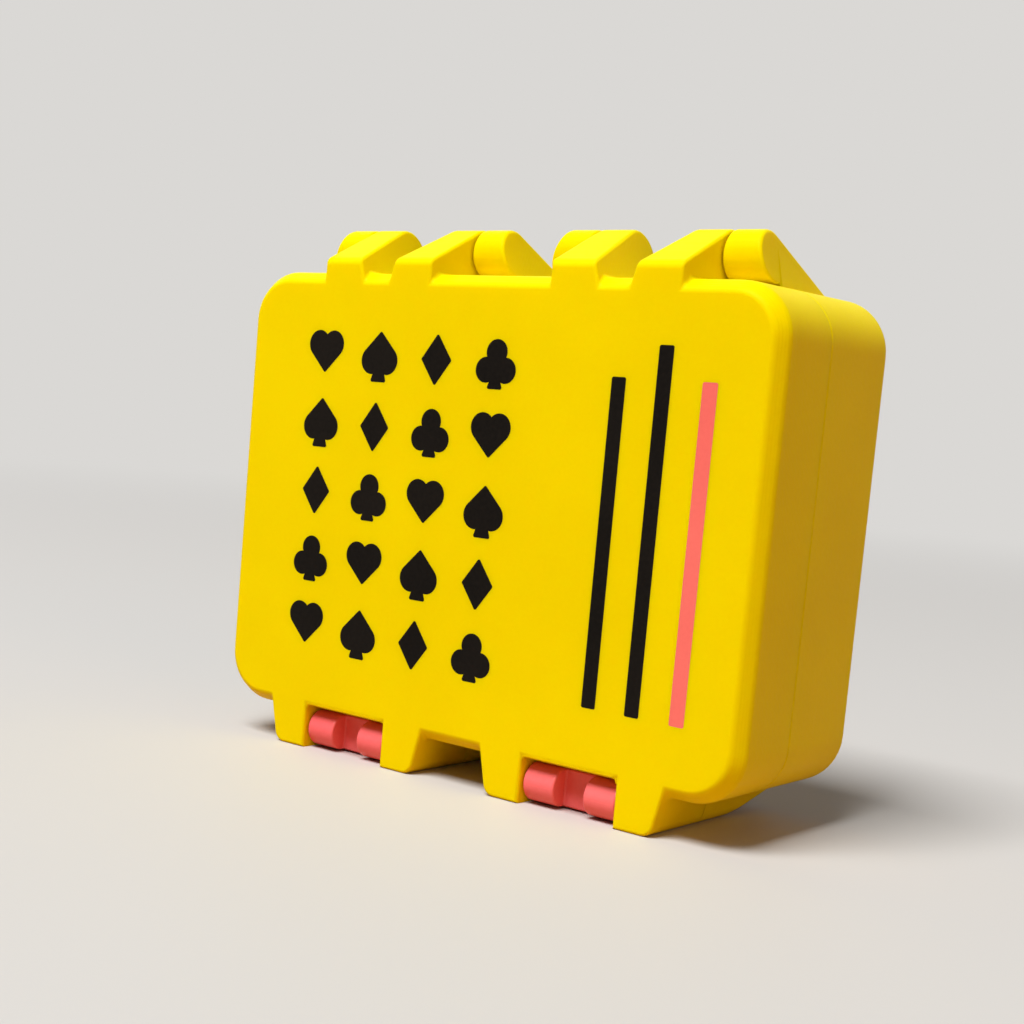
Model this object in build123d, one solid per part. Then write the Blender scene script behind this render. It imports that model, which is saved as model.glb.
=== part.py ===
from build123d import *
from math import asin, atan2, copysign, cos, hypot, radians, sin, sqrt, tan
import os

# A hinged box for one deck of cards, standing on its latch edge as it is shown.
# X runs along the hinge, +Y points to the back and +Z up; lengths are in millimetres.
# The origin lies under the middle of the box, on the surface that its feet stand on.

# The deck: standard cards, lying on their long edge
card_length = 88.9
card_height = 63.5
card_side_clearance = 1.05
card_head_clearance = 0.5

# The two shells
wall = 3.5
face_thickness = 2.4
lid_depth = 14.0
base_depth = 19.5
corner_radius = 8.0
rim_inset = 1.55
rim_depth = 2.1
seam_gap = 0.15
seam_bevel = 0.12

# The tongue of the back shell, which enters a rebate in the lid
tongue_thickness = 1.0
tongue_height = 1.6
tongue_clearance = 0.25

# The hinge: two units, each with two lid ribs between two knuckles of the back shell.
# The gap and the widths are those at the crest; the free sides lean outwards to the root.
hinge_offset = 22.0
hinge_setback = 1.0
hinge_gap = 10.1
hinge_rib_width = 5.9
hinge_rib_rise = 2.0
hinge_draft = 15.0
hinge_tail_setback = 5.3
knuckle_width = 5.1
knuckle_radius = 3.75
knuckle_top_gap = 0.45
knuckle_side_gap = 0.35

# The hinge stubs: printed in place on the back knuckles, each in a blind socket of a lid rib
stub_radius = 2.0
stub_reach = 2.2
stub_clearance = 0.15
stub_end_chamfer = 0.4

# The feet: ribs on both sides of each latch bay
bay_offset = 21.85
bay_width = 16.6
bay_recess = 1.3
bay_length = 28.3
foot_height = 5.85
foot_root_width = 7.9
foot_tip_width = 6.2
foot_tip_radius = 2.0
foot_flat_length = 22.3
foot_tail_drop = 2.7

# The latches
latch_side_gap = 0.3
latch_knuckle_radius = 2.9
latch_knuckle_length = 5.4
latch_pivot_setback = 3.6
latch_pivot_drop = 2.65
latch_web_setback = 3.2
latch_arm_thickness = 2.2
latch_tab_thickness = 1.5
latch_tab_end = 26.7
latch_tab_radius = 0.6
trunnion_radius = 1.4
trunnion_clearance = 0.1
trunnion_length = 1.2
catch_offset = 6.0
catch_radius = 1.5
catch_clearance = 0.2
hook_wall = 1.2
hook_mouth = 2.6

# The inlays of the front face
inlay_depth = 0.6
inlay_tip_radius = 0.3
bar_side_margin = 8.95
bar_pitch = 7.25
bar_width = 2.35
bar_bottom = 10.45
bar_lengths = {"black_bar_short": 47.1, "black_bar_long": 51.8, "pink_bar": 47.1}
pip_rows = 5
pip_side_margin = 17.6
pip_top = 58.45
pip_pitch_x = 11.4
pip_pitch_z = 11.0
pip_width = 7.4

# Places worked out from the sizes above
well_width = card_length + 2 * card_side_clearance
well_height = card_height + 2 * card_head_clearance
case_width = well_width + 2 * wall
case_height = well_height + 2 * wall
case_depth = lid_depth + base_depth
well_radius = corner_radius - wall
front_y = -case_depth / 2
back_y = case_depth / 2
seam_y = front_y + lid_depth
lid_rim_y = seam_y - seam_gap / 2
base_rim_y = seam_y + seam_gap / 2
bottom_z = foot_height
top_z = bottom_z + case_height
middle_z = (bottom_z + top_z) / 2
hinge_y = seam_y - hinge_setback
hinge_z = top_z + knuckle_radius + knuckle_top_gap
rib_inner = hinge_gap / 2
rib_outer = rib_inner + hinge_rib_width
knuckle_inner = rib_outer + knuckle_side_gap
knuckle_outer = knuckle_inner + knuckle_width
pivot_y = front_y + latch_pivot_setback
pivot_z = bottom_z - latch_pivot_drop
catch_y = seam_y + catch_offset
last_bar_x = case_width / 2 - bar_side_margin - bar_width / 2
first_pip_x = pip_side_margin - case_width / 2
hinge_units = {"left": -hinge_offset, "right": hinge_offset}
latch_bays = {"left": -bay_offset, "right": bay_offset}
margin = 1.0


def side_slab(points, x_low, x_high):
    face = make_face(Polyline(*[(x_low, y, z) for y, z in points], close=True))
    return extrude(face, amount=x_high - x_low, dir=(1, 0, 0))


def front_slab(points, y_low, y_high):
    face = make_face(Polyline(*[(x, y_low, z) for x, z in points], close=True))
    return extrude(face, amount=y_high - y_low, dir=(0, 1, 0))


def block(x_low, x_high, y_low, y_high, z_low, z_high):
    corner = (Align.MIN, Align.MIN, Align.MIN)
    return Pos(x_low, y_low, z_low) * Box(x_high - x_low, y_high - y_low, z_high - z_low, align=corner)


def rod(y, z, radius, x_low, x_high):
    plane = Plane(origin=(x_low, y, z), x_dir=(0, 1, 0), z_dir=(1, 0, 0))
    return plane * Cylinder(radius, x_high - x_low, align=(Align.CENTER, Align.CENTER, Align.MIN))


def rounded_block(grow, y_low, y_high):
    # The card well's outline, grown by an even amount all round
    plane = Plane(origin=(0, y_low, middle_z), x_dir=(1, 0, 0), z_dir=(0, 1, 0))
    outline = RectangleRounded(well_width + 2 * grow, well_height + 2 * grow, well_radius + grow)
    return extrude(plane * outline, amount=y_high - y_low, dir=(0, 1, 0))


def tangent_point(start, centre, radius, turn):
    reach = hypot(centre[0] - start[0], centre[1] - start[1])
    heading = atan2(centre[1] - start[1], centre[0] - start[0]) + turn * asin(radius / reach)
    run = sqrt(reach**2 - radius**2)
    return start[0] + run * cos(heading), start[1] + run * sin(heading)


def hinge_arm(nose_y, nose_z, rim_y, turn, joint_x, free_x):
    # A knuckle round the hinge axis, with a web that slopes down to its nose on the shell.
    # It is upright at the joint between rib and knuckle, and leans on its free side.
    centre = (hinge_y, hinge_z)
    root_z = top_z - rim_inset
    peak_z = hinge_z + knuckle_radius + margin
    lean = copysign(tan(radians(hinge_draft)), free_x - joint_x)
    root_x = free_x + lean * (hinge_z + knuckle_radius - root_z)
    x_low, x_high = sorted((joint_x, root_x))
    shoulder = tangent_point((nose_y, nose_z), centre, knuckle_radius, turn)
    outline = [(nose_y, root_z), (nose_y, nose_z), shoulder, centre, (rim_y, hinge_z), (rim_y, root_z)]
    arm = side_slab(outline, x_low, x_high) + rod(hinge_y, hinge_z, knuckle_radius, x_low, x_high)
    draft = [(joint_x, root_z), (joint_x, peak_z), (free_x - lean * margin, peak_z), (root_x, root_z)]
    return arm & front_slab(draft, front_y, back_y)


def lid_hinge_ribs(unit_x):
    nose_z = top_z + hinge_rib_rise
    sides = [(unit_x + side * rib_outer, unit_x + side * rib_inner) for side in (-1, 1)]
    return [hinge_arm(front_y, nose_z, lid_rim_y, 1, *side) for side in sides]


def base_hinge_knuckles(unit_x):
    nose_y = back_y - hinge_tail_setback
    sides = [(unit_x + side * knuckle_inner, unit_x + side * knuckle_outer) for side in (-1, 1)]
    return [hinge_arm(nose_y, top_z, base_rim_y, -1, *side) for side in sides]


def hinge_stubs(unit_x):
    left_end = unit_x - rib_outer + stub_reach
    right_end = unit_x + rib_outer - stub_reach
    left = rod(hinge_y, hinge_z, stub_radius, unit_x - knuckle_inner - margin, left_end)
    right = rod(hinge_y, hinge_z, stub_radius, right_end, unit_x + knuckle_inner + margin)
    left = chamfer(left.edges().filter_by(GeomType.CIRCLE).group_by(Axis.X)[-1], stub_end_chamfer)
    return [left, chamfer(right.edges().filter_by(GeomType.CIRCLE).group_by(Axis.X)[0], stub_end_chamfer)]


def stub_sockets(unit_x):
    radius = stub_radius + stub_clearance
    depth = stub_reach + stub_clearance
    left = rod(hinge_y, hinge_z, radius, unit_x - rib_outer - margin, unit_x - rib_outer + depth)
    return [left, rod(hinge_y, hinge_z, radius, unit_x + rib_outer - depth, unit_x + rib_outer + margin)]


def foot(bay_x, side, y_low, y_high):
    # Upright towards its latch bay, tapered on the other face, with a round outer corner
    inner = bay_x + side * bay_width / 2
    root = inner + side * foot_root_width
    tip = inner + side * foot_tip_width
    root_z = bottom_z + rim_inset
    prism = front_slab([(inner, root_z), (inner, 0), (tip, 0), (root, root_z)], y_low, y_high)
    corner = prism.edges().filter_by(Axis.Y).sort_by_distance((tip, (y_low + y_high) / 2, 0))[0]
    return fillet(corner, foot_tip_radius)


def base_foot(bay_x, side):
    flat_end = front_y + foot_flat_length
    profile = [(base_rim_y, 0), (flat_end, 0), (back_y, foot_height - foot_tail_drop),
               (back_y, top_z), (base_rim_y, top_z)]
    return foot(bay_x, side, base_rim_y, back_y) & side_slab(profile, -case_width, case_width)


def bay_cut(bay_x):
    half = bay_width / 2
    return block(bay_x - half, bay_x + half, front_y - margin, front_y + bay_length,
                 -margin, bottom_z + bay_recess)


def trunnion_sockets(bay_x):
    reach = bay_width / 2 + trunnion_length + trunnion_clearance
    return rod(pivot_y, pivot_z, trunnion_radius + trunnion_clearance, bay_x - reach, bay_x + reach)


def lid_body():
    outer = rounded_block(wall, front_y, lid_rim_y)
    front = outer.faces().sort_by(Axis.Y)[0]
    outer = chamfer(front.edges(), rim_inset, rim_depth, reference=front)
    return chamfer(outer.edges().group_by(Axis.Y)[-1], seam_bevel)


def base_body():
    outer = rounded_block(wall, base_rim_y, back_y)
    back = outer.faces().sort_by(Axis.Y)[-1]
    outer = chamfer(back.edges(), rim_inset, rim_depth, reference=back)
    return chamfer(outer.edges().group_by(Axis.Y)[0], seam_bevel)


def front_shell(inlays):
    shell = lid_body()
    for unit_x in hinge_units.values():
        shell += lid_hinge_ribs(unit_x)
    for bay_x in latch_bays.values():
        shell += [foot(bay_x, side, front_y, lid_rim_y) for side in (-1, 1)]
    rebate_y = seam_y - tongue_height - tongue_clearance
    shell -= rounded_block(0, front_y + face_thickness, seam_y)
    shell -= rounded_block(tongue_thickness + tongue_clearance, rebate_y, seam_y)
    for bay_x in latch_bays.values():
        shell -= bay_cut(bay_x)
        shell -= trunnion_sockets(bay_x)
    for unit_x in hinge_units.values():
        shell -= stub_sockets(unit_x)
    return shell - list(inlays.values())


def back_shell():
    shell = base_body() + rounded_block(tongue_thickness, seam_y - tongue_height, base_rim_y + margin)
    for unit_x in hinge_units.values():
        shell += base_hinge_knuckles(unit_x)
        shell += hinge_stubs(unit_x)
    for bay_x in latch_bays.values():
        shell += [base_foot(bay_x, side) for side in (-1, 1)]
        shell -= bay_cut(bay_x)
        shell += rod(catch_y, pivot_z, catch_radius, bay_x - bay_width / 2, bay_x + bay_width / 2)
    return shell - rounded_block(0, seam_y - tongue_height, back_y - face_thickness)


def latch_hook(x_low, x_high):
    # A ring open at the top, whose jaws reach past the middle of the catch bar
    inner_radius = catch_radius + catch_clearance
    outer_radius = inner_radius + hook_wall
    ring = rod(catch_y, pivot_z, outer_radius, x_low, x_high)
    ring -= rod(catch_y, pivot_z, inner_radius, x_low, x_high)
    return ring - block(x_low, x_high, catch_y - hook_mouth / 2, catch_y + hook_mouth / 2,
                        pivot_z, pivot_z + outer_radius)


def latch_tab(x_low, x_high):
    tab_low = pivot_z - catch_radius - catch_clearance - hook_wall
    tab_start = catch_y + catch_radius + catch_clearance
    tab = block(x_low, x_high, tab_start, front_y + latch_tab_end, tab_low, tab_low + latch_tab_thickness)
    ends = tab.edges().filter_by(Axis.X).group_by(Axis.Y)[-1]
    return fillet(ends, latch_tab_radius)


def latch(bay_x):
    x_low = bay_x - bay_width / 2 + latch_side_gap
    x_high = bay_x + bay_width / 2 - latch_side_gap
    web_front = pivot_y - latch_knuckle_radius + latch_web_setback
    web_reach = latch_knuckle_radius + margin
    arm_low = pivot_z - catch_radius - catch_clearance - hook_wall
    body = rod(pivot_y, pivot_z, latch_knuckle_radius, x_low, x_high)
    body += block(x_low, x_high, pivot_y, catch_y, arm_low, arm_low + latch_arm_thickness)
    # Between the two end knuckles the web stands back
    body -= block(x_low + latch_knuckle_length, x_high - latch_knuckle_length,
                  pivot_y - web_reach, web_front, pivot_z - web_reach, pivot_z + web_reach)
    body -= rod(catch_y, pivot_z, catch_radius + catch_clearance, x_low, x_high)
    body += latch_hook(x_low, x_high)
    body += latch_tab(x_low, x_high)
    body += rod(pivot_y, pivot_z, trunnion_radius, bay_x - bay_width / 2 - trunnion_length, x_low)
    return body + rod(pivot_y, pivot_z, trunnion_radius, x_high, bay_x + bay_width / 2 + trunnion_length)


def heart(width):
    # A square on its corner with a round lobe on each upper side
    side = width / (1 + 1 / sqrt(2))
    lobe = side / sqrt(8)
    shape = Rot(0, 0, 45) * Rectangle(side, side) + [Pos(x, lobe) * Circle(side / 2) for x in (-lobe, lobe)]
    return fillet(shape.vertices().group_by(Axis.Y)[0], inlay_tip_radius)


def stem(half_width, height):
    shape = Polygon((0, 0), (-half_width, -height), (half_width, -height), align=None)
    return fillet(shape.vertices().group_by(Axis.Y)[0], inlay_tip_radius)


def spade(width):
    leaf = Rot(0, 0, 180) * heart(width) + stem(0.22 * width, 0.66 * width)
    return Pos(0, 0.12 * width) * leaf


def club(width):
    lobe = 0.26 * width
    places = [(0, 0.22 * width), (-0.5 * width + lobe, -0.14 * width), (0.5 * width - lobe, -0.14 * width)]
    return Circle(lobe / 2) + stem(0.2 * width, 0.52 * width) + [Pos(x, z) * Circle(lobe) for x, z in places]


def diamond(width):
    tall = 0.54 * width
    wide = 0.4 * width
    shape = Polygon((0, tall), (wide, 0), (0, -tall), (-wide, 0), align=None)
    return fillet(shape.vertices(), inlay_tip_radius)


def inlay(shape, x, z):
    plane = Plane(origin=(x, front_y, z), x_dir=(1, 0, 0), z_dir=(0, -1, 0))
    return extrude(plane * shape, amount=inlay_depth, dir=(0, 1, 0))


def bar_inlays():
    bars = {}
    for place, (name, length) in enumerate(reversed(bar_lengths.items())):
        x = last_bar_x - place * bar_pitch
        z = bottom_z + bar_bottom + length / 2
        bars[name] = inlay(RectangleRounded(bar_width, length, inlay_tip_radius), x, z)
    return bars


def pip_inlays():
    # Each row holds the four suits, starting one suit further on than the row above
    suits = {"heart": heart, "spade": spade, "diamond": diamond, "club": club}
    names = list(suits)
    pips = {}
    for row in range(pip_rows):
        for column in range(len(names)):
            suit = names[(column + row) % len(names)]
            x = first_pip_x + column * pip_pitch_x
            z = bottom_z + pip_top - row * pip_pitch_z
            pips[f"{suit}_inlay_row_{row + 1}"] = inlay(suits[suit](pip_width), x, z)
    return pips


def make_nodes():
    inlays = bar_inlays() | pip_inlays()
    nodes = {"front_shell": front_shell(inlays), "back_shell": back_shell()}
    for name, bay_x in latch_bays.items():
        nodes[f"latch_{name}"] = latch(bay_x)
    return nodes | inlays


os.makedirs("parts", exist_ok=True)
for name, shape in make_nodes().items():
    export_step(shape, f"parts/{name}.step")
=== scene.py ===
import math

import bmesh
import bpy
from mathutils import Matrix, Vector


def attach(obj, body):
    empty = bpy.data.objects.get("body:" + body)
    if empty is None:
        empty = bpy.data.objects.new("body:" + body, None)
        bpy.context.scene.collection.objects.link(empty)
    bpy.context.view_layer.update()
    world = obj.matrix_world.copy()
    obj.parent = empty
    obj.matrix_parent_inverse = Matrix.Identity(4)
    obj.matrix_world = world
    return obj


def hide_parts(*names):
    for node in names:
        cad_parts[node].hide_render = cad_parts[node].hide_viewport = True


# Hinged card box, 3d printed in yellow PLA with coral latches. Metres, same frame as the CAD:
# X along the hinge, Y from the inlaid face to the back, Z up.

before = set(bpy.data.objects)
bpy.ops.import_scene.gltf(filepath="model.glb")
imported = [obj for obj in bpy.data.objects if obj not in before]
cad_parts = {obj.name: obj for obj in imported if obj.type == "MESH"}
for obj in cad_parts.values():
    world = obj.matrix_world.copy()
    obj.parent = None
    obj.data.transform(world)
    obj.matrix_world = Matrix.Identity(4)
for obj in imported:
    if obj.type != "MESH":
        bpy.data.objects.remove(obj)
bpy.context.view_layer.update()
scene = bpy.context.scene
mm = 0.001
print("loaded", len(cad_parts), "nodes")


# camera, solved from the case edges in the photo
cameraSetup = {
    "place": (0.154065, -0.217643, 0.057350),
    "turn": 40.214,  # degrees round Z, 0 looks along +Y
    "tilt": 6.483,   # looking down
    "roll": 4.609,
    "lens": 59.187,
    "shiftX": 0.1277,
    "shiftY": 0.0795,
}

cameraData = bpy.data.cameras.new("camera")
cameraData.sensor_width = 36
cameraData.lens = cameraSetup["lens"]
cameraData.shift_x = cameraSetup["shiftX"]
cameraData.shift_y = cameraSetup["shiftY"]
cameraData.clip_start = 0.01
camera = bpy.data.objects.new("camera", cameraData)
scene.collection.objects.link(camera)
camera.matrix_world = (
    Matrix.Translation(cameraSetup["place"])
    @ Matrix.Rotation(math.radians(cameraSetup["turn"]), 4, "Z")
    @ Matrix.Rotation(math.radians(90 - cameraSetup["tilt"]), 4, "X")
    @ Matrix.Rotation(math.radians(cameraSetup["roll"]), 4, "Z")
)
scene.camera = camera
print("camera set")


def linearColour(hexCode):
    channels = [int(hexCode[i:i + 2], 16) / 255 for i in (1, 3, 5)]
    return [c / 12.92 if c <= 0.04045 else ((c + 0.055) / 1.055) ** 2.4 for c in channels] + [1.0]


def addNode(tree, kind, settings, links=None):
    node = tree.nodes.new(kind)
    for name, value in settings.items():
        if isinstance(name, int) or name in node.inputs:
            node.inputs[name].default_value = value
        else:
            setattr(node, name, value)
    for name, (source, output) in (links or {}).items():
        tree.links.new(source.outputs[output], node.inputs[name])
    return node


def emptyMaterial(name):
    material = bpy.data.materials.new(name)
    material.use_nodes = True
    material.node_tree.nodes.clear()
    return material


# Printed PLA. Layers lie in planes of constant Y on the shells, because lid and back were both
# printed with their outer face down on a textured bed. That gives three skins: pebbled where it
# touched the bed, fine lines round the sides, diagonal strands on the faces that were up.
plaSetup = {
    "layer": 0.4 * mm,      # real layers are 0.2 mm, too fine for one pixel, so drawn double
    "strand": 0.84 * mm,    # real strands are 0.42 mm wide, drawn double
    "pebble": 0.35 * mm,    # grain of the steel bed
    "drift": 1.1 * mm,      # groups of layers that lie a little in or out
    "driftScale": 60.0,     # the same along the layers, stretched far out
    "grain": 0.6 * mm,      # specks in the pigment
    "cloudScale": 45.0,     # broad changes in the pigment
    "cloudRange": (0.35, 0.65),
    "skin": 0.08 * mm,      # how near a flat skin a point has to be to show its pattern
    "layerDepth": 0.011 * mm,
    "driftDepth": 0.03 * mm,
    "strandDepth": 0.02 * mm,
    "pebbleDepth": 0.012 * mm,
    "glowReach": (1.0, 0.7, 0.1),  # red light runs furthest inside yellow plastic, blue hardly at all
    "glowScale": 2.0 * mm,
}


def waveScale(pitch):
    return 2 * math.pi / (20 * pitch)  # bands of the wave texture repeat every 2 pi / 20 units


def onPlanes(tree, split, axis, planes):
    # 1 on the flat skins at these places along the axis, 0 elsewhere
    mask = addNode(tree, "ShaderNodeValue", {})
    mask.outputs["Value"].default_value = 0.0
    for plane in planes:
        near = addNode(tree, "ShaderNodeMath", {"operation": "COMPARE", 1: plane, 2: plaSetup["skin"]},
                       {0: (split, axis)})
        mask = addNode(tree, "ShaderNodeMath", {"operation": "MAXIMUM"},
                       {0: (mask, "Value"), 1: (near, "Value")})
    return mask


def printedPla(name, look):
    material = emptyMaterial(name)
    tree = material.node_tree
    place = addNode(tree, "ShaderNodeTexCoord", {})
    split = addNode(tree, "ShaderNodeSeparateXYZ", {}, {"Vector": (place, "Object")})
    stackIndex = "XYZ".index(look["stackAxis"])

    # layers, with the uneven ones that catch the light
    layers = addNode(tree, "ShaderNodeTexWave",
                     {"bands_direction": look["stackAxis"], "Scale": waveScale(plaSetup["layer"]),
                      "Distortion": 0.6, "Detail": 1.0, "Detail Scale": 0.05},
                     {"Vector": (place, "Object")})
    squeeze = [plaSetup["driftScale"]] * 3
    squeeze[stackIndex] = 1 / plaSetup["drift"]
    stretched = addNode(tree, "ShaderNodeMapping", {"Scale": squeeze}, {"Vector": (place, "Object")})
    drift = addNode(tree, "ShaderNodeTexNoise", {"Scale": 1.0, "Detail": 3.0, "Roughness": 0.6},
                    {"Vector": (stretched, "Vector")})

    # pebbled skin where the face lay on the bed
    pebbles = addNode(tree, "ShaderNodeTexNoise",
                      {"Scale": 1 / plaSetup["pebble"], "Detail": 1.5, "Roughness": 0.45},
                      {"Vector": (place, "Object")})
    onBed = onPlanes(tree, split, look["stackAxis"], look["bedSkins"])
    bedGrain = addNode(tree, "ShaderNodeMath", {"operation": "MULTIPLY"},
                       {0: (pebbles, "Fac"), 1: (onBed, "Value")})

    # diagonal strands on the faces that were up
    turned = addNode(tree, "ShaderNodeMapping", {"Rotation": look["strandTurn"]},
                     {"Vector": (place, "Object")})
    strands = addNode(tree, "ShaderNodeTexWave",
                      {"bands_direction": "X", "Scale": waveScale(plaSetup["strand"]),
                       "Distortion": 0.4, "Detail": 1.0, "Detail Scale": 0.05},
                      {"Vector": (turned, "Vector")})
    onTop = onPlanes(tree, split, look["stackAxis"], look["topSkins"])
    topLines = addNode(tree, "ShaderNodeMath", {"operation": "MULTIPLY"},
                       {0: (strands, "Fac"), 1: (onTop, "Value")})

    bumpLayers = addNode(tree, "ShaderNodeBump",
                         {"Strength": 1.0, "Distance": look["layerShare"] * plaSetup["layerDepth"]},
                         {"Height": (layers, "Fac")})
    bumpDrift = addNode(tree, "ShaderNodeBump",
                        {"Strength": 1.0, "Distance": look["layerShare"] * plaSetup["driftDepth"]},
                        {"Height": (drift, "Fac"), "Normal": (bumpLayers, "Normal")})
    bumpBed = addNode(tree, "ShaderNodeBump", {"Strength": 1.0, "Distance": plaSetup["pebbleDepth"]},
                      {"Height": (bedGrain, "Value"), "Normal": (bumpDrift, "Normal")})
    bumpTop = addNode(tree, "ShaderNodeBump", {"Strength": 1.0, "Distance": plaSetup["strandDepth"]},
                      {"Height": (topLines, "Value"), "Normal": (bumpBed, "Normal")})

    # pigment: broad soft drift, and a little more of it in the grain
    cloud = addNode(tree, "ShaderNodeTexNoise",
                    {"Scale": plaSetup["cloudScale"], "Detail": 2.0, "Roughness": 0.5},
                    {"Vector": (place, "Object")})
    grain = addNode(tree, "ShaderNodeTexNoise", {"Scale": 1 / plaSetup["grain"], "Detail": 2.0},
                    {"Vector": (place, "Object")})
    blend = addNode(tree, "ShaderNodeMath", {"operation": "MULTIPLY_ADD", 1: look["grainShare"]},
                    {0: (grain, "Fac"), 2: (cloud, "Fac")})
    low, high = plaSetup["cloudRange"]
    spread = addNode(tree, "ShaderNodeMapRange",
                     {"From Min": low + low * look["grainShare"],
                      "From Max": high + high * look["grainShare"]},
                     {"Value": (blend, "Value")})
    colour = addNode(tree, "ShaderNodeMix", {"data_type": "RGBA"}, {"Factor": (spread, "Result")})
    colour.inputs[6].default_value = linearColour(look["deep"])
    colour.inputs[7].default_value = linearColour(look["light"])

    # the sides are a touch glossier than the bed skin
    polish = addNode(tree, "ShaderNodeMapRange",
                     {"From Min": 0.0, "From Max": 1.0, "To Min": look["sideRoughness"],
                      "To Max": look["bedRoughness"]},
                     {"Value": (onBed, "Value")})
    surface = addNode(tree, "ShaderNodeBsdfPrincipled",
                      {"IOR": 1.46, "Specular IOR Level": look["shine"],
                       "Specular Tint": linearColour(look["sheen"]),
                       "Subsurface Weight": look["glow"],
                       "Subsurface Radius": plaSetup["glowReach"],
                       "Subsurface Scale": plaSetup["glowScale"]},
                      {"Base Color": (colour, 2), "Roughness": (polish, "Result"),
                       "Normal": (bumpTop, "Normal")})
    addNode(tree, "ShaderNodeOutputMaterial", {}, {"Surface": (surface, "BSDF")})
    return material


# the case, for the places of its flat skins and of the edges that get rounded
caseSetup = {
    "frontY": -16.75 * mm,
    "backY": 16.75 * mm,
    "seamY": -2.75 * mm,
    "seamGap": 0.15 * mm,
    "faceThickness": 2.4 * mm,
    "halfWidth": 49 * mm,
    "bottomZ": 5.85 * mm,
    "topZ": 77.35 * mm,
    "cornerRadius": 8 * mm,
    "rimInset": 1.55 * mm,  # the chamfer round both faces
    "rimDepth": 2.1 * mm,
}
lidRim = caseSetup["seamY"] - caseSetup["seamGap"] / 2
backRim = caseSetup["seamY"] + caseSetup["seamGap"] / 2
lidFloor = caseSetup["frontY"] + caseSetup["faceThickness"]
backFloor = caseSetup["backY"] - caseSetup["faceThickness"]
lidSkins = {"bedSkins": [caseSetup["frontY"]], "topSkins": [lidRim, lidFloor]}
backSkins = {"bedSkins": [caseSetup["backY"]], "topSkins": [backRim, backFloor]}


def plaLook(**changes):
    look = {"stackAxis": "Y", "bedSkins": [], "topSkins": [], "strandTurn": (0, math.radians(45), 0),
            "layerShare": 1.0, "grainShare": 0.3, "deep": "#F0DA00", "light": "#F5E000",
            "sideRoughness": 0.42, "bedRoughness": 0.5, "shine": 0.05, "sheen": "#FFE070", "glow": 0.4}
    look.update(changes)
    return look


# yellow PLA filament, satin: saturated, with a soft broad sheen and fine lines round the sides
lidPla = printedPla("yellowPlaLid", plaLook(**lidSkins))
backPla = printedPla("yellowPlaBack", plaLook(**backSkins))
# coral PLA, a little glossier, layers stacked upwards
latchPla = printedPla("coralPlaLatch", plaLook(stackAxis="Z", deep="#F4666A", light="#FB7476",
                                               layerShare=0.5, sideRoughness=0.36, shine=0.3, glow=0.0,
                                               sheen="#FFFFFF"))
# the same coral laid in the face, so it has the bed skin
barPla = printedPla("coralPlaInlay", plaLook(bedSkins=lidSkins["bedSkins"], deep="#F4716B", light="#FB7B73",
                                             sheen="#FFFFFF", glow=0.0))
# black PLA inlay: matt, slightly grey from the bed grain
inkPla = printedPla("blackPlaInlay", plaLook(bedSkins=lidSkins["bedSkins"], deep="#12100E", light="#1C1916",
                                             grainShare=0.8, bedRoughness=0.6, sheen="#FFFFFF", glow=0.0))
print("materials made")


# Shells and latches: the printed parts have soft edges, the CAD nodes have sharp ones. Each is
# copied, merged, and its outer edges rounded.
mergeSetup = {
    "mergeWithin": 0.003 * mm,
    "flatWithin": 0.5,       # degrees, faces that bend less become one
    "onFace": 0.01 * mm,
    "cutWithin": 0.001 * mm,
    "smoothBelow": 40,       # degrees
    "evenWeight": 90,
}
shellSetup = {
    "edgeRound": 0.5 * mm,
    "faceRound": 0.6 * mm,   # both edges of the chamfer round the faces
    "noseRound": 1.0 * mm,   # front edge of the hinge ribs
    "widest": 1.0 * mm,
    "segments": 3,
    "sharpFrom": 30,         # degrees, the bends that get rounded
    "slack": 0.1 * mm,       # edges lie this near to the place they are looked for
    "seamZone": 0.5 * mm,    # either side of the seam, and this far above the case
    "noseDepth": 0.2 * mm,
    "noseRise": 1.9 * mm,    # above the case top, from where a rib edge is its nose
    "rootZone": 0.2 * mm,
    "rootBack": 12 * mm,
    "pivotBelow": 5.4 * mm,  # the zone round the latch pivots and catch bars
    "pivotAcross": (13 * mm, 31 * mm),
    "pivotAlong": (-14.4 * mm, 10 * mm),
}
latchSetup = {
    "edgeRound": 0.35 * mm,
    "widest": 0.35 * mm,
    "segments": 3,
    "sharpFrom": 30,
    "hookAlong": (1.0 * mm, 6.0 * mm),
}


def cutFace(piece, places):
    # Upright cuts through the inlay pockets of the front face. Its outline then bevels cleanly,
    # because no stray edge runs from a pocket to a corner
    grid = bmesh.new()
    grid.from_mesh(piece.data)
    for x in places:
        faces = [face for face in grid.faces
                 if all(abs(vert.co.y - caseSetup["frontY"]) < mergeSetup["onFace"] for vert in face.verts)]
        edges = list({edge for face in faces for edge in face.edges})
        verts = list({vert for face in faces for vert in face.verts})
        cut = bmesh.ops.bisect_plane(grid, geom=faces + edges + verts, dist=mergeSetup["cutWithin"],
                                     plane_co=(x, 0, 0), plane_no=(1, 0, 0))
        for part in cut["geom_cut"]:
            if isinstance(part, bmesh.types.BMEdge):
                part.seam = True
    grid.to_mesh(piece.data)
    grid.free()


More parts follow.
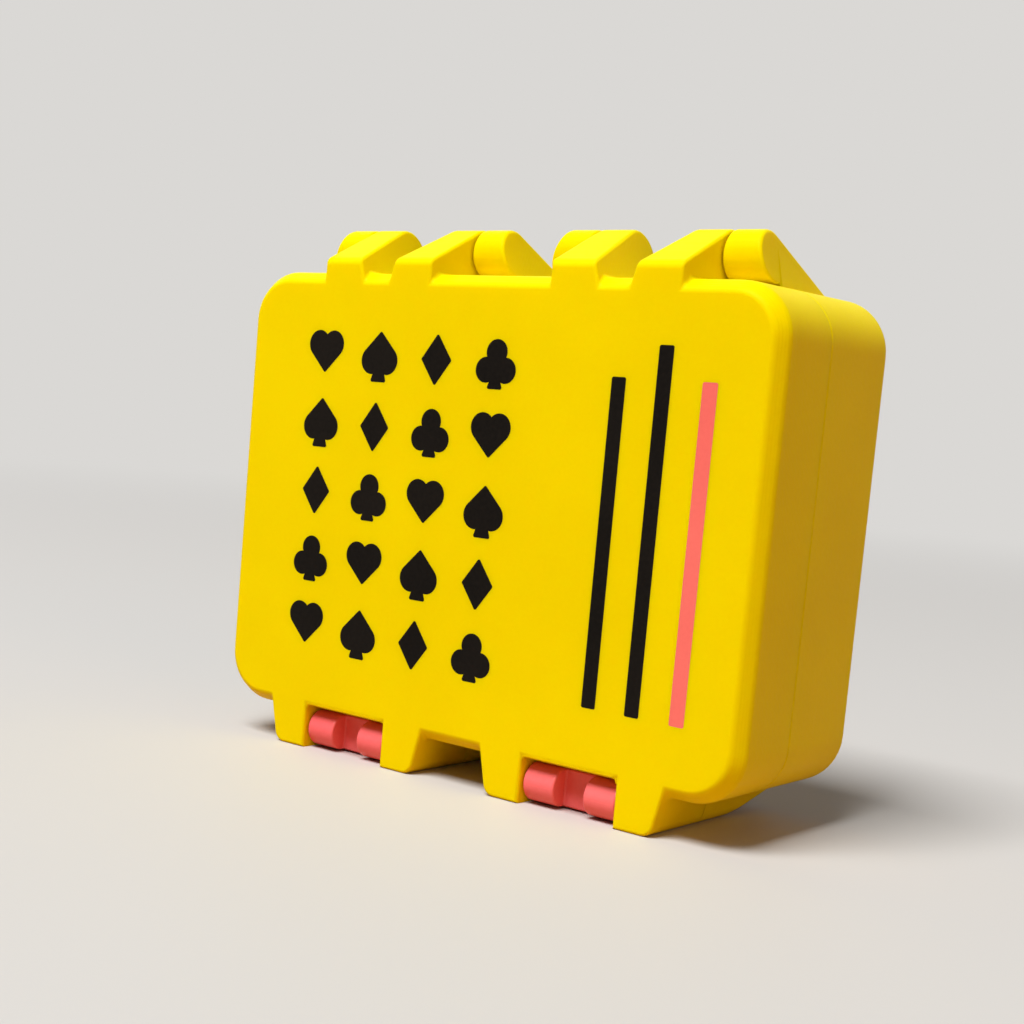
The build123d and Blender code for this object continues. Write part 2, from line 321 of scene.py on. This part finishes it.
def mergedCopy(node, name, cuts=()):
    piece = bpy.data.objects.new(name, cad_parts[node].data.copy())
    scene.collection.objects.link(piece)
    bpy.ops.object.select_all(action="DESELECT")
    bpy.context.view_layer.objects.active = piece
    piece.select_set(True)
    bpy.ops.object.mode_set(mode="EDIT")
    bpy.ops.mesh.select_all(action="SELECT")
    bpy.ops.mesh.customdata_custom_splitnormals_clear()
    bpy.ops.mesh.remove_doubles(threshold=mergeSetup["mergeWithin"])
    bpy.ops.object.mode_set(mode="OBJECT")
    cutFace(piece, cuts)
    bpy.ops.object.mode_set(mode="EDIT")
    bpy.ops.mesh.select_all(action="SELECT")
    bpy.ops.mesh.dissolve_limited(angle_limit=math.radians(mergeSetup["flatWithin"]), delimit={"SEAM"})
    bpy.ops.object.mode_set(mode="OBJECT")
    return piece


def roundEdges(piece, setup, radiusAt):
    grid = bmesh.new()
    grid.from_mesh(piece.data)
    layer = grid.edges.layers.float.new("bevel_weight_edge")
    count = 0
    for edge in grid.edges:
        if len(edge.link_faces) == 2 and edge.calc_face_angle() > math.radians(setup["sharpFrom"]):
            middle = (edge.verts[0].co + edge.verts[1].co) / 2
            edge[layer] = radiusAt(middle) / setup["widest"]
            count += edge[layer] > 0
    grid.to_mesh(piece.data)
    grid.free()
    bevel = piece.modifiers.new("softEdges", "BEVEL")
    bevel.width = setup["widest"]
    bevel.segments = setup["segments"]
    bevel.limit_method = "WEIGHT"
    bevel.use_clamp_overlap = False
    bpy.ops.object.modifier_apply(modifier="softEdges")
    bpy.ops.object.shade_smooth_by_angle(angle=math.radians(mergeSetup["smoothBelow"]))
    even = piece.modifiers.new("evenNormals", "WEIGHTED_NORMAL")
    even.weight = mergeSetup["evenWeight"]
    even.keep_sharp = True
    bpy.ops.object.modifier_apply(modifier="evenNormals")
    print(piece.name, "rounded edges", count, "faces", len(piece.data.polygons))


def within(value, limits):
    return limits[0] < value < limits[1]


def outFromCorner(x, z):
    # How far out the point lies, measured from the rectangle between the corners' centres
    middleZ = (caseSetup["bottomZ"] + caseSetup["topZ"]) / 2
    halfHeight = (caseSetup["topZ"] - caseSetup["bottomZ"]) / 2
    outX = max(abs(x) - caseSetup["halfWidth"] + caseSetup["cornerRadius"], 0)
    outZ = max(abs(z - middleZ) - halfHeight + caseSetup["cornerRadius"], 0)
    return math.hypot(outX, outZ)


def shellRadius(middle):
    x, y, z = middle
    out = outFromCorner(x, z)
    slack = shellSetup["slack"]
    seamZone = shellSetup["seamZone"]
    if out < caseSetup["cornerRadius"] - caseSetup["rimInset"] - slack:
        return 0.0  # inlay pockets and the well stay crisp
    if abs(y - caseSetup["seamY"]) < seamZone and z < caseSetup["topZ"] + seamZone:
        return 0.0  # the seam has its own small bevel
    if y < caseSetup["frontY"] + shellSetup["noseDepth"] and z > caseSetup["topZ"] + shellSetup["noseRise"]:
        return shellSetup["noseRound"]
    nearPivot = z < shellSetup["pivotBelow"] and within(abs(x), shellSetup["pivotAcross"])
    if nearPivot and within(y, shellSetup["pivotAlong"]):
        return 0.0  # pivot holes and catch bars stay crisp
    atRoot = abs(z - caseSetup["topZ"]) < shellSetup["rootZone"]
    if atRoot and within(y, (caseSetup["seamY"], shellSetup["rootBack"])):
        return 0.0  # so do the roots of the knuckles, which reach the case's corner
    atFace = min(y - caseSetup["frontY"], caseSetup["backY"] - y) < caseSetup["rimDepth"] + slack
    if atFace and out < caseSetup["cornerRadius"] + slack:
        return shellSetup["faceRound"]
    return shellSetup["edgeRound"]


def latchRadius(middle):
    # the thin lips inside the hook stay crisp
    return 0.0 if within(middle.y, latchSetup["hookAlong"]) else latchSetup["edgeRound"]


def placePiece(piece, node, material):
    # node and body have the same name here
    piece.data.materials.clear()
    piece.data.materials.append(material)
    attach(piece, node)
    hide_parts(node)


# the cuts pass through the four pip columns and the three bars, clear of the rib and foot corners
pocketCuts = [x * mm for x in (-31.4, -20.7, -9.2, 2.8, 23.6, 31.6, 39.3)]
shells = {"front_shell": ("lid", lidPla, pocketCuts), "back_shell": ("backShell", backPla, [])}
for node, (name, material, cuts) in shells.items():
    shell = mergedCopy(node, name, cuts)
    roundEdges(shell, shellSetup, shellRadius)
    placePiece(shell, node, material)

for side in ("left", "right"):
    node = f"latch_{side}"
    latch = mergedCopy(node, "latch" + side.capitalize())
    roundEdges(latch, latchSetup, latchRadius)
    placePiece(latch, node, latchPla)
print("shells and latches done")


# Inlays keep their CAD shapes and get their finish
for name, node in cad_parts.items():
    if name in ("front_shell", "back_shell") or name.startswith("latch"):
        continue
    node.data.materials.clear()
    node.data.materials.append(barPla if name == "pink_bar" else inkPla)
print("inlays finished")


# Stage: pale floor that runs out into the same pale background, soft key from the upper front left
stageSetup = {
    "floorSize": 6.0,
    "floorColour": "#C8C6C3",
    "bounceColour": "#B98F68",  # what the floor throws back at the box, as the warm table does
    "backColour": "#DAD8D5",
    "fadeFrom": 0.16,
    "fadeTo": 0.95,
    "keyPlace": (-0.16, -1.35, 2.55),
    "keySize": 1.3,
    "keyPower": 112.0,
    "fillPlace": (1.6, -0.6, 0.5),
    "fillSize": 0.8,
    "fillPower": 4.2,
    "fillColour": "#FFCF9A",
    "ambient": 0.08,
    "lampAim": (0, 0, 0.04),
}


def seenRays(tree):
    # 1 for camera, glossy and transmission rays, 0 for the light that bounces off the stage
    rays = addNode(tree, "ShaderNodeLightPath", {})
    seen = addNode(tree, "ShaderNodeMath", {"operation": "ADD"},
                   {0: (rays, "Is Camera Ray"), 1: (rays, "Is Glossy Ray")})
    return addNode(tree, "ShaderNodeMath", {"operation": "ADD", "use_clamp": True},
                   {0: (seen, "Value"), 1: (rays, "Is Transmission Ray")})


bpy.ops.object.select_all(action="DESELECT")
bpy.ops.mesh.primitive_plane_add(size=stageSetup["floorSize"], location=(0, 0, 0))
floor = bpy.context.object
floor.name = "floor"

# matt pale board, a little warm where it throws light back at the box
floorMaterial = emptyMaterial("paleFloor")
tree = floorMaterial.node_tree
place = addNode(tree, "ShaderNodeTexCoord", {})
reach = addNode(tree, "ShaderNodeVectorMath", {"operation": "LENGTH"}, {0: (place, "Object")})
fade = addNode(tree, "ShaderNodeMapRange",
               {"interpolation_type": "SMOOTHSTEP", "From Min": stageSetup["fadeFrom"],
                "From Max": stageSetup["fadeTo"]},
               {"Value": (reach, "Value")})
seen = seenRays(tree)
floorTint = addNode(tree, "ShaderNodeMix", {"data_type": "RGBA"}, {"Factor": (seen, "Value")})
floorTint.inputs[6].default_value = linearColour(stageSetup["bounceColour"])
floorTint.inputs[7].default_value = linearColour(stageSetup["floorColour"])
paint = addNode(tree, "ShaderNodeBsdfPrincipled", {"Roughness": 0.6, "Specular IOR Level": 0.2},
                {"Base Color": (floorTint, 2)})
farGlow = addNode(tree, "ShaderNodeEmission",
                  {"Color": linearColour(stageSetup["backColour"]), "Strength": 1.0})
# only seen rays fade into the background, so that the far floor sends no extra light to the box
share = addNode(tree, "ShaderNodeMath", {"operation": "MULTIPLY"},
                {0: (fade, "Result"), 1: (seen, "Value")})
mixed = addNode(tree, "ShaderNodeMixShader", {},
                {0: (share, "Value"), 1: (paint, "BSDF"), 2: (farGlow, "Emission")})
addNode(tree, "ShaderNodeOutputMaterial", {}, {"Surface": (mixed, "Shader")})
floor.data.materials.append(floorMaterial)

world = bpy.data.worlds.new("studio")
world.use_nodes = True
tree = world.node_tree
tree.nodes.clear()
seen = seenRays(tree)
ambient = addNode(tree, "ShaderNodeBackground", {"Color": (1, 1, 1, 1), "Strength": stageSetup["ambient"]})
backdrop = addNode(tree, "ShaderNodeBackground",
                   {"Color": linearColour(stageSetup["backColour"]), "Strength": 1.0})
mixed = addNode(tree, "ShaderNodeMixShader", {},
                {0: (seen, "Value"), 1: (ambient, "Background"), 2: (backdrop, "Background")})
addNode(tree, "ShaderNodeOutputWorld", {}, {"Surface": (mixed, "Shader")})
scene.world = world


def softLamp(name, place, size, power, colour):
    data = bpy.data.lights.new(name, "AREA")
    data.size = size
    data.energy = power
    data.color = linearColour(colour)[:3]
    lamp = bpy.data.objects.new(name, data)
    scene.collection.objects.link(lamp)
    lamp.location = place
    aim = Vector(stageSetup["lampAim"]) - Vector(place)
    lamp.rotation_euler = aim.to_track_quat("-Z", "Y").to_euler()
    return lamp


softLamp("keyLamp", stageSetup["keyPlace"], stageSetup["keySize"], stageSetup["keyPower"], "#FFFFFF")
softLamp("fillLamp", stageSetup["fillPlace"], stageSetup["fillSize"], stageSetup["fillPower"],
         stageSetup["fillColour"])
scene.view_settings.view_transform = "Standard"
print("stage and lamps set")
